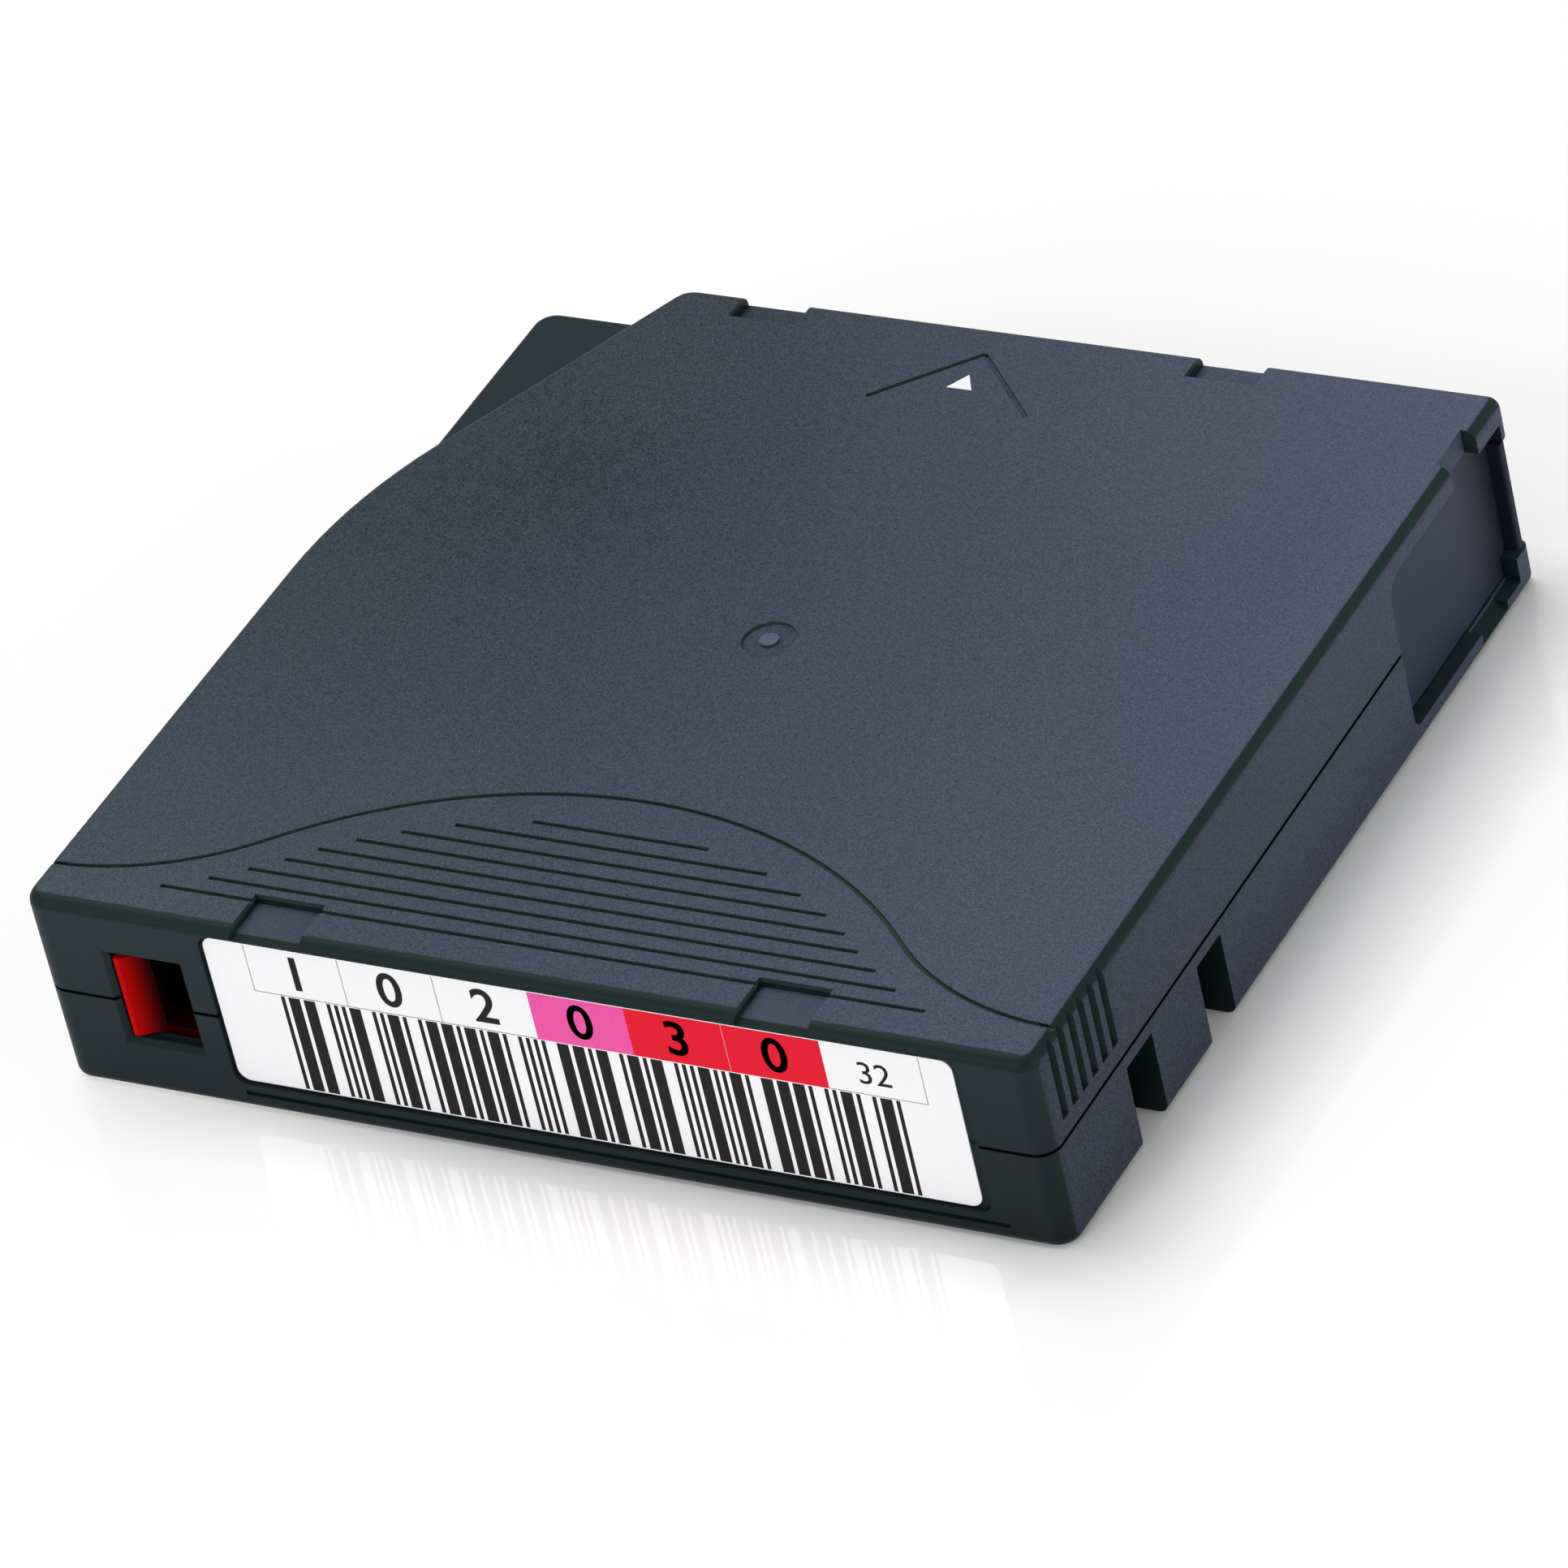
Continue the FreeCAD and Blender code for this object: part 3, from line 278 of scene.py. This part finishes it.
def painted_light_and_shade(shell):
    """Painted light and shade: how much lighter or darker than its colour a face is, as a
    share.
    """
    plain = 1 - shell.grain_and_sheen
    sweep = (shell.x + 20.0 * MM) * (shell.y + 35.0 * MM) * SWEEP
    lid = shell.lid * (shell.radius_from(DARK_PLACE) - DARK_RADIUS) * FROM_DARK_PLACE
    tone = END_SHADE - shell.x * END_TO_LEFT + (shell.height - SEAM) * END_TO_TOP
    label_end = (0 - shell.y).above(*LABEL_END) * plain * shell.upright * tone
    ledge = shell.level * plain * (1 - shell.front_edge) * LEDGE_GAIN
    return sweep + lid - shell.flank * FLANK_LOSS + label_end + ledge


def engraving(shell):
    """Floors and walls of the engraved lines, but not of the dimple or the door's corner."""
    line = shell.level * (1 - shell.height.above(*LINE_FLOOR)) * (1 - shell.door_part)
    line = line * shell.radius_from(reel_axis).above(*DIMPLE)
    wall = shell.upright * (1 - abs(shell.x).above(*LID_HALF_WIDTH))
    return shell.height.above(*ENGRAVED_SKIN) * (line + wall)


def painted_gap_shade(shell):
    """Painted shade on the seam all round, and on the walls of the notches below it."""
    seam = 1 - abs(shell.height - SEAM).above(*SEAM_HALF)
    notch = shell.sideways * (1 - shell.outermost) * (1 - shell.height.above(*NOTCH_TOP))
    return shell.either(seam, notch * (1 - abs(shell.y).above(*NOTCHED_PART)))


# %% [markdown]
# Two noises make the grain: one 0.13 mm across for single grains, and a broad cloud. The
# same fine noise moves shade, gloss and relief, as a real grain does. The nub in the middle
# of the dimple was polished.

# %% Grained shell plastic
# SHELL and SHELL_GREEN are the grained faces under painted sheen; the stoned ends and rounded
# edges get darker painted-shade colours
SHELL, SHELL_GREEN = (0.0425, 0.052, 0.083), (0.038, 0.0525, 0.071)
STONED_SHADED, ROUNDED_SHADED = (0.0100, 0.0182, 0.0224), (0.008, 0.019, 0.018)
ENGRAVED, GAP_SHADE = (0.032, 0.052, 0.050), (0.001, 0.002, 0.002)
NUB = (0.08, 0.095, 0.16)
GRAIN, CLOUD = 0.13, 30.0
SPECKLE, GRAIN_SPECKLE, CLOUDING = 0.8, 2.2, 0.24


def shell_plastic(name):
    """One finish for a whole shell: grain, stoned ends, lines, seam and notches."""
    shell = ShellFinish(name)
    fine = shell.noise(GRAIN)
    cloud = shell.noise(CLOUD, detail=1.0) - 0.5
    speckle = (fine - 0.5) * (SPECKLE + shell.grain_and_sheen * GRAIN_SPECKLE)
    # the painted light and shade joins the grain's speckle and cloud here
    light = 1 + speckle + cloud * CLOUDING + painted_light_and_shade(shell)
    # painted shade on the stoned ends and rounded edges, painted sheen on the grained faces,
    # greener towards the left
    rounded = shell.either(1 - shell.upright - shell.level, shell.front_edge * shell.level)
    smooth = shell.blend(rounded, STONED_SHADED, ROUNDED_SHADED)
    grain_sheen = shell.blend(0.5 - shell.x * 10.0 + cloud, SHELL, SHELL_GREEN)
    colour = shell.scaled(shell.blend(shell.grain_and_sheen, smooth, grain_sheen), light)
    nub = shell.lid * (1 - shell.radius_from(reel_axis).above(*NUB_RADIUS))
    colour = shell.blend(engraving(shell), colour, ENGRAVED)
    colour = shell.blend(nub, colour, NUB)
    return shell.wear(
        # painted shade, nearly black, on the seam and the notch walls
        base=shell.blend(painted_gap_shade(shell), colour, GAP_SHADE),
        rough=0.46 + shell.grain_and_sheen * 0.09 + (fine - 0.5) * 0.12,
        height=fine * (0.35 + shell.grain_and_sheen * 0.65),
        depth=0.04,
    )


case_top = shell_plastic("case_top_grain")
case_bottom = shell_plastic("case_bottom_grain")
print("shell plastic", case_top.name, "and", case_bottom.name)

# %% [markdown]
# The door and the little moving parts come from polished tools, so they are smoother than
# the shells: one noise touches colour, gloss and relief. The door alone gets painted shade,
# darker where it runs round to the entry end.

# %% Smooth moulded parts
ENTRY_END = 45.0 * MM, 10.0 * MM
POLISH = 0.5


def smooth_plastic(name, colour, contrast=0.06, gloss=0.3, dim=0.0):
    """Dim is how much darker painted shade makes the part at the entry end."""
    finish = Finish(name, Specular_IOR_Level=gloss)
    fine = finish.noise(POLISH)
    base = finish.blend(fine, tint(colour, 1 - contrast), tint(colour, 1 + contrast))
    if dim:
        base = finish.scaled(base, 1 - finish.along(Y_AXIS).above(*ENTRY_END) * dim)
    return finish.wear(base=base, rough=0.4 + (fine - 0.5) * 0.12, height=fine, depth=0.004)


# the door's painted shade at the entry end
door_plastic = smooth_plastic(
    "door_smooth", (0.038, 0.045, 0.074), contrast=0.2, gloss=0.04, dim=0.6
)
reel_plastic = smooth_plastic("reel_dark_grey", (0.10, 0.10, 0.105), contrast=0.2)
release_plastic = smooth_plastic("release_white", (0.62, 0.62, 0.58))
brake_plastic = smooth_plastic("brake_grey", (0.45, 0.46, 0.45))
clip_plastic = smooth_plastic("clip_grey", (0.50, 0.50, 0.50))
print("smooth parts:", door_plastic.name, reel_plastic.name, release_plastic.name)

# %% [markdown]
# The switch is clear red where the finger meets it; painted shade makes it much darker where
# it turns into the window. How far to the right a point lies on the switch steers the colour.

# %% Switch red
FINGER_WALL = cad_low.x + 9.9 * MM, 3.2 * MM
# RED_SHADED is the switch red under painted shade
RED, RED_SHADED = (0.54, 0.0012, 0.0012), (0.02, 0.0, 0.0)
switch_finish = Finish("switch_red", Specular_IOR_Level=0.02)
speck = switch_finish.noise(POLISH)
into_shade = switch_finish.along(X_AXIS).above(*FINGER_WALL)
switch_plastic = switch_finish.wear(
    base=switch_finish.blend(into_shade, RED, RED_SHADED),
    rough=0.4 + (speck - 0.5) * 0.1,
    height=speck,
    depth=0.003,
)
print("switch turns dark from", round(FINGER_WALL[0] / MM, 1), "mm on")


# %% [markdown]
# Steel shows how it was worked. Pressed sheet and turned pins have fine lines drawn out in
# one direction, so the noise is stretched along it. It moves gloss and relief, shade least.

# %% Worked steel
def worked_steel(name, colour, roughness, stretch):
    """Lines run long where the stretch is small and short where it is large."""
    finish = Finish(name, Metallic=1.0)
    lines = finish.noise(0.5, detail=3.0, stretch=stretch)
    return finish.wear(
        base=finish.blend(lines, tint(colour, 0.86), colour),
        rough=roughness + (lines - 0.5) * 0.18,
        height=lines,
        depth=0.004,
    )


drive_steel = worked_steel("drive_plate_steel", (0.62, 0.61, 0.59), 0.34, (1.0, 0.08, 1.0))
pin_steel = worked_steel("pin_turned_steel", (0.72, 0.72, 0.70), 0.2, (0.3, 0.3, 3.0))
spring_steel = worked_steel("spring_wire", (0.48, 0.47, 0.45), 0.3, (1.0, 1.0, 4.0))
screw_steel = worked_steel("screw_black_zinc", (0.09, 0.09, 0.095), 0.42, (1.0, 1.0, 1.0))
print("steels:", drive_steel.name, pin_steel.name, spring_steel.name, screw_steel.name)


# %% [markdown]
# Tape wound on a reel is thousands of thin turns. From the side they read as fine rings,
# so a ring pattern round the reel's own axis tints the pack and sets its relief.

# %% Tape and leader
TURNS = 0.35 * MM


def wound_film(name, colour, roughness):
    """Film in turns round the reel's axis."""
    finish = Finish(name, Specular_IOR_Level=0.5)
    radius = finish.radius_from(reel_axis)
    turns = finish.node(
        "TexNoise", {"noise_dimensions": "1D"}, {"W": radius, "Scale": 1 / TURNS}
    )
    return finish.wear(
        base=finish.blend(turns, tint(colour, 0.6), tint(colour, 1.6)),
        rough=roughness + (turns - 0.5) * 0.2,
        height=turns,
        depth=0.01,
    )


tape_film = wound_film("tape_wound", (0.024, 0.018, 0.015), 0.3)
leader_film = wound_film("leader_dark_film", (0.02, 0.02, 0.022), 0.22)
print("tape winds round", [round(v / MM, 1) for v in reel_axis], "mm")

# %% [markdown]
# The memory board is a slip of green laminate. The label is coated paper: nearly white,
# with the faintest cloud of fibres under a slight gloss.

# %% Board and paper
board = Finish("memory_board_green", Specular_IOR_Level=0.5)
weave = board.noise(0.4)
memory_board = board.wear(
    base=board.blend(weave, (0.01, 0.09, 0.03), (0.02, 0.15, 0.05)),
    rough=0.32 + (weave - 0.5) * 0.1,
    height=weave,
    depth=0.004,
)

paper = Finish("label_paper", Specular_IOR_Level=0.4)
fibre = paper.noise(0.35, detail=4.0)
label_film = paper.wear(
    base=paper.blend(fibre, (0.92, 0.92, 0.935), (0.96, 0.96, 0.975)),
    rough=0.42 + (fibre - 0.5) * 0.08,
    height=fibre,
    depth=0.003,
)
print("board", memory_board.name, "and label", label_film.name)

# %% [markdown]
# Each carried-over part has one slot for its finish. The table below says which part gets
# which, and the loop puts it there.

# %% Finish every part
FINISHES = {
    "top_shell": case_top,
    "bottom_shell": case_bottom,
    "case_screws": screw_steel,
    "reel_hub": reel_plastic,
    "upper_flange": reel_plastic,
    "drive_plate": drive_steel,
    "tape_pack": tape_film,
    "release_plate": release_plastic,
    "brake_button": brake_plastic,
    "brake_spring": spring_steel,
    "leader_pin": pin_steel,
    "pin_clip": clip_plastic,
    "leader_tape": leader_film,
    "pin_spring_lower": spring_steel,
    "pin_spring_upper": spring_steel,
    "door": door_plastic,
    "door_spring": spring_steel,
    "write_protect_switch": switch_plastic,
    "cartridge_memory": memory_board,
    "barcode_label": label_film,
}
for node_name, finish_material in FINISHES.items():
    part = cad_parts[node_name]
    for slot in part.material_slots:
        slot.material = finish_material
print("finished", len(FINISHES), "of", len(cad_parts), "parts")


# %% [markdown]
# Print on paper is ink, a film a hundredth of a millimetre thick. It could be drawn in the
# label's material, but ink as thin geometry has crisp edges at any distance. `ink_plates`
# makes one mesh of many thin plates standing on the label's face, which looks along -Y.

# %% Ink as thin plates
label_low, label_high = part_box("barcode_label")
INK = 0.012 * MM


def made_of(shape, name, material):
    """A new object from a finished shape, with its ink."""
    mesh = bpy.data.meshes.new(name)
    shape.to_mesh(mesh)
    shape.free()
    mesh.materials.append(material)
    piece = bpy.data.objects.new(name, mesh)
    bpy.context.collection.objects.link(piece)
    return piece


def ink_plates(name, rectangles, material, thickness=INK):
    """Plates on the label's face, each from its (left, bottom, right, top) in metres."""
    plates = bmesh.new()
    for left, bottom, right, top in rectangles:
        corners = [
            plates.verts.new((x, y, z))
            for y in (label_low.y, label_low.y - thickness)
            for x, z in ((left, bottom), (right, bottom), (right, top), (left, top))
        ]
        rims = [(i, (i + 1) % 4, 4 + (i + 1) % 4, 4 + i) for i in range(4)]
        for face in [(3, 2, 1, 0), (4, 5, 6, 7)] + rims:
            plates.faces.new([corners[i] for i in face])
    bmesh.ops.recalc_face_normals(plates, faces=plates.faces)
    piece = made_of(plates, name, material)
    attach(piece, "case")


def ink(name, colour, spread=0.1):
    """Printed ink: a flat colour that varies a little where it soaked in."""
    finish = Finish(name, Specular_IOR_Level=0.08)
    soak = finish.noise(0.25, detail=3.0)
    return finish.wear(
        base=finish.blend(soak, tint(colour, 1 - spread), tint(colour, 1 + spread)),
        rough=0.5 + (soak - 0.5) * 0.1,
    )


print("ink is", round(INK / MM, 3), "mm thick")

# %% [markdown]
# Five inks print the label: black for what is read, grey and a pale red for the fine lines
# between cells, pink and red for the coloured fields.

# %% Inks
black_ink = ink("ink_black", (0.017, 0.014, 0.014), spread=0.25)
grey_ink = ink("ink_grey_line", (0.33, 0.33, 0.33))
pink_ink = ink("ink_pink", (0.86, 0.10, 0.39))
pale_ink = ink("ink_pale_line", (0.85, 0.25, 0.25))
red_ink = ink("ink_red", (0.80, 0.008, 0.030))
print("inks:", black_ink.name, grey_ink.name, pink_ink.name, pale_ink.name, red_ink.name)

# %% [markdown]
# The label has a row of seven cells along its top, for the numbers that people read, and
# a bar code below for the machine. Two colours mark the digits, as on real library labels.

# %% Cells of the number row
CELL = 10.0 * MM
LABEL_EDGE = 0.15 * MM
ROW_LEFT = label_low.x + 4.5 * MM
ROW_LOW = label_high.z - 5.6 * MM
ROW_HIGH = label_high.z - LABEL_EDGE
LINE = 0.09 * MM


def cell_edge(number):
    """How far right a cell begins, counted from 0; a half is its middle."""
    return ROW_LEFT + number * CELL


def cells(first, last):
    """The field from one cell's edge to another's, as high as the row."""
    return (cell_edge(first), ROW_LOW, cell_edge(last), ROW_HIGH)


def divider(number):
    """A fine line between two cells."""
    return (cell_edge(number) - LINE / 2, ROW_LOW, cell_edge(number) + LINE / 2, ROW_HIGH)


def ledger(first, last):
    """A fine line under some cells."""
    return (cell_edge(first), ROW_LOW, cell_edge(last), ROW_LOW + LINE)


ink_plates("label_cell_pink", [cells(3, 4)], pink_ink)
ink_plates("label_cells_red", [cells(4, 6)], red_ink)
lines = [divider(i) for i in (0, 1, 2, 7)] + [ledger(0, 3), ledger(6, 7)]
ink_plates("label_cell_lines", lines, grey_ink)
ink_plates("label_red_divider", [divider(5)], pale_ink, thickness=1.5 * INK)
print("number row is", round((ROW_HIGH - ROW_LOW) / MM, 2), "mm high")

# %% [markdown]
# A bar code spells each sign with five bars and four gaps, and two bars and a gap of the
# nine are wide. A real pattern would hold somebody's number, so a made-up rule picks the
# wide ones here.

# %% Bars
BARS_LEFT, BARS_LONG = label_low.x + 7.2 * MM, 64.4 * MM
BARS_LOW, BARS_HIGH = label_low.z + LABEL_EDGE, ROW_LOW - 0.1 * MM
SIGNS, WIDE = 10, 3.0
narrow = BARS_LONG / (SIGNS * (6 + 3 * WIDE + 1) - 1)
bars = []
left = BARS_LEFT
for sign in range(SIGNS):
    wide_bars = {2 * ((sign * 3 + 1) % 5), 2 * ((sign * 3 + 2 + sign % 2) % 5)}
    wide_gap = 1 + 2 * ((sign * 7 + 2) % 4)
    for element in range(9):
        right = left + narrow * (WIDE if element in wide_bars | {wide_gap} else 1)
        if element % 2 == 0:
            bars.append((left, BARS_LOW, right, BARS_HIGH))
        left = right
    left += narrow
ink_plates("label_bars", bars, black_ink)
print(len(bars), "bars, the narrow ones", round(narrow / MM, 3), "mm")

# %% [markdown]
# Digits come from a text object, which gives clean outlines, turned into a mesh so that
# nothing depends on a font later. They stand on the label, so the text is turned upright.

# %% Digits
CELL_DIGITS, DIGIT, DIGIT_BASE = "102030", 5.45 * MM, ROW_LOW + 1.0 * MM
SMALL_DIGITS, SMALL_DIGIT, SMALL_BASE = "32", 3.6 * MM, ROW_LOW + 1.3 * MM
BOLDER = 0.09 * MM


def printed_digits(name, words, size, base, thicken=0.0):
    """Words are pairs of a text and how far right its middle is. All are one piece."""
    whole = bmesh.new()
    for text, centre in words:
        curve = bpy.data.curves.new(name + "_outline", "FONT")
        curve.body = text
        curve.size = size
        curve.align_x = "CENTER"
        curve.extrude = INK
        curve.offset = thicken
        writing = bpy.data.objects.new(name + "_outline", curve)
        outline = bpy.data.meshes.new_from_object(writing)
        place = Vector((centre, label_low.y, base))
        outline.transform(Matrix.Translation(place) @ Matrix.Rotation(math.pi / 2, 4, "X"))
        whole.from_mesh(outline)
        bpy.data.objects.remove(writing)
    bmesh.ops.remove_doubles(whole, verts=whole.verts, dist=1e-7)
    piece = made_of(whole, name, black_ink)
    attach(piece, "case")


middles = [(digit, cell_edge(i + 0.5)) for i, digit in enumerate(CELL_DIGITS)]
printed_digits("label_digits", middles, DIGIT, DIGIT_BASE, thicken=BOLDER)
printed_digits("label_small_digits", [(SMALL_DIGITS, cell_edge(6.5))], SMALL_DIGIT, SMALL_BASE)
print("digits", CELL_DIGITS, "and", SMALL_DIGITS)

# %% [markdown]
# A small white triangle is printed on the lid inside the engraved arrow: this end first.

# %% Direction mark
MARK_Y, MARK_HALF, MARK_TALL = 40.8 * MM, 1.35 * MM, 2.3 * MM
CORNERS = (-MARK_HALF, MARK_Y), (MARK_HALF, MARK_Y), (0, MARK_Y + MARK_TALL)
shape = bmesh.new()
low, high = ([shape.verts.new((x, y, z)) for x, y in CORNERS] for z in (LID, LID + INK))
shape.faces.new(high)
shape.faces.new(low[::-1])
for i, j in ((0, 1), (1, 2), (2, 0)):
    shape.faces.new([low[i], low[j], high[j], high[i]])
mark = made_of(shape, "direction_mark", ink("ink_white", (0.80, 0.81, 0.80)))
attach(mark, "case")
print("entry mark", round(MARK_TALL / MM, 1), "mm long")

# %% [markdown]
# The camera looks down on the label end from its right, a long way off, so edges stay
# almost parallel. It is also rolled, which is what makes the cartridge lean in the view.

# %% Camera
lens = bpy.data.cameras.new("product_camera")
lens.lens = 252.12
lens.sensor_width = 36.0
lens.clip_start, lens.clip_end = 0.05, 20.0
camera = bpy.data.objects.new("product_camera", lens)
camera.location = Vector((480.44, -681.998, 607.929)) * MM
camera.rotation_euler = Euler([math.radians(a) for a in (53.37, 11.043, 27.164)])
bpy.context.collection.objects.link(camera)
bpy.context.scene.camera = camera
print("camera stands", round(camera.location.length, 2), "m away")

# %% [markdown]
# The cartridge stands on a sheet of glossy white. Its gloss mirrors the label end faintly.
# Seen by the camera, a part of the sheet's white is emitted, so it stays clean, while the
# shadow still falls on the rest. The sheet has an opening that the cartridge covers, so its
# underside can be looked at from below, and lies a hair lower, so no two faces share a plane.

# %% Floor
SHEET = 4.0
HOLE_X, HOLE_Y = cad_high.x - 5.0 * MM, cad_high.y - 1.5 * MM
HAIR = 0.05 * MM
sheet_mesh = bpy.data.meshes.new("white_floor")
sheet_mesh.from_pydata(
    [
        (sx * wide, sy * deep, cad_low.z - HAIR)
        for wide, deep in ((SHEET, SHEET), (HOLE_X, HOLE_Y))
        for sx, sy in ((-1, -1), (1, -1), (1, 1), (-1, 1))
    ],
    [],
    [(i, (i + 1) % 4, 4 + (i + 1) % 4, 4 + i) for i in range(4)],
)
floor = bpy.data.objects.new("white_floor", sheet_mesh)
bpy.context.collection.objects.link(floor)
print("floor opening", round(2 * HOLE_X / MM, 1), "by", round(2 * HOLE_Y / MM, 1), "mm")

# %% [markdown]
# How much of the white is emitted falls from left to right, so the shadow on the right is
# the deeper one. Mirrors and glass see the same white as the camera does.

# %% White of the floor
white = Finish(
    "floor_white", Base_Color=(0.98, 0.98, 0.98, 1.0), Roughness=0.06, Specular_IOR_Level=1.0
)
GLOW_LEFT, GLOW_LOSS = 0.6, 0.58
TO_THE_RIGHT = -30.0 * MM, 60.0 * MM
rightward = white.along(X_AXIS).above(*TO_THE_RIGHT)
paths = white.node("LightPath").socket.node.outputs
seen = Value(white, paths["Is Camera Ray"]) + Value(white, paths["Is Glossy Ray"])
seen = seen + Value(white, paths["Is Transmission Ray"])
glow = white.node("Emission", inputs={"Color": (1.0, 1.0, 1.0), "Strength": 1.0})
lit = Value(white, white.shader.outputs[0])
share = seen * (GLOW_LEFT - rightward * GLOW_LOSS)
mixed = white.node("MixShader", inputs={0: share, 1: lit, 2: glow})
white.feed(white.nodes["Material Output"].inputs["Surface"], mixed)
sheet_mesh.materials.append(white.material)
print("floor white", white.material.name)

# %% [markdown]
# Soft light from a bright sky all round and three large soft boxes: the strongest high on
# the left, so the lid is the lightest side, one low on the right for the flank, and one in
# front, so the label stays white.

# %% Light
world = bpy.data.worlds.new("studio")
bpy.context.scene.world = world
world.use_nodes = True
sky = world.node_tree.nodes["Background"]
sky.inputs["Color"].default_value = (1.0, 1.0, 1.0, 1.0)
sky.inputs["Strength"].default_value = 0.45


def soft_box(name, place, watts):
    """A square lamp, 0.9 m wide, that looks at the cartridge."""
    lamp = bpy.data.lights.new(name, "AREA")
    lamp.shape = "SQUARE"
    lamp.size = 0.9
    lamp.energy = watts
    box = bpy.data.objects.new(name, lamp)
    box.location = place
    box.rotation_euler = (-Vector(place)).to_track_quat("-Z", "Y").to_euler()
    bpy.context.collection.objects.link(box)


soft_box("key_box", (-0.4, 0.15, 1.4), 12.4)
soft_box("side_box", (1.4, 0.15, 0.3), 7.4)
soft_box("fill_box", (-0.3, -1.5, 0.7), 9.5)
bpy.context.scene.view_settings.view_transform = "Standard"
print("lamps:", [lamp.name for lamp in bpy.data.lights if lamp.users])
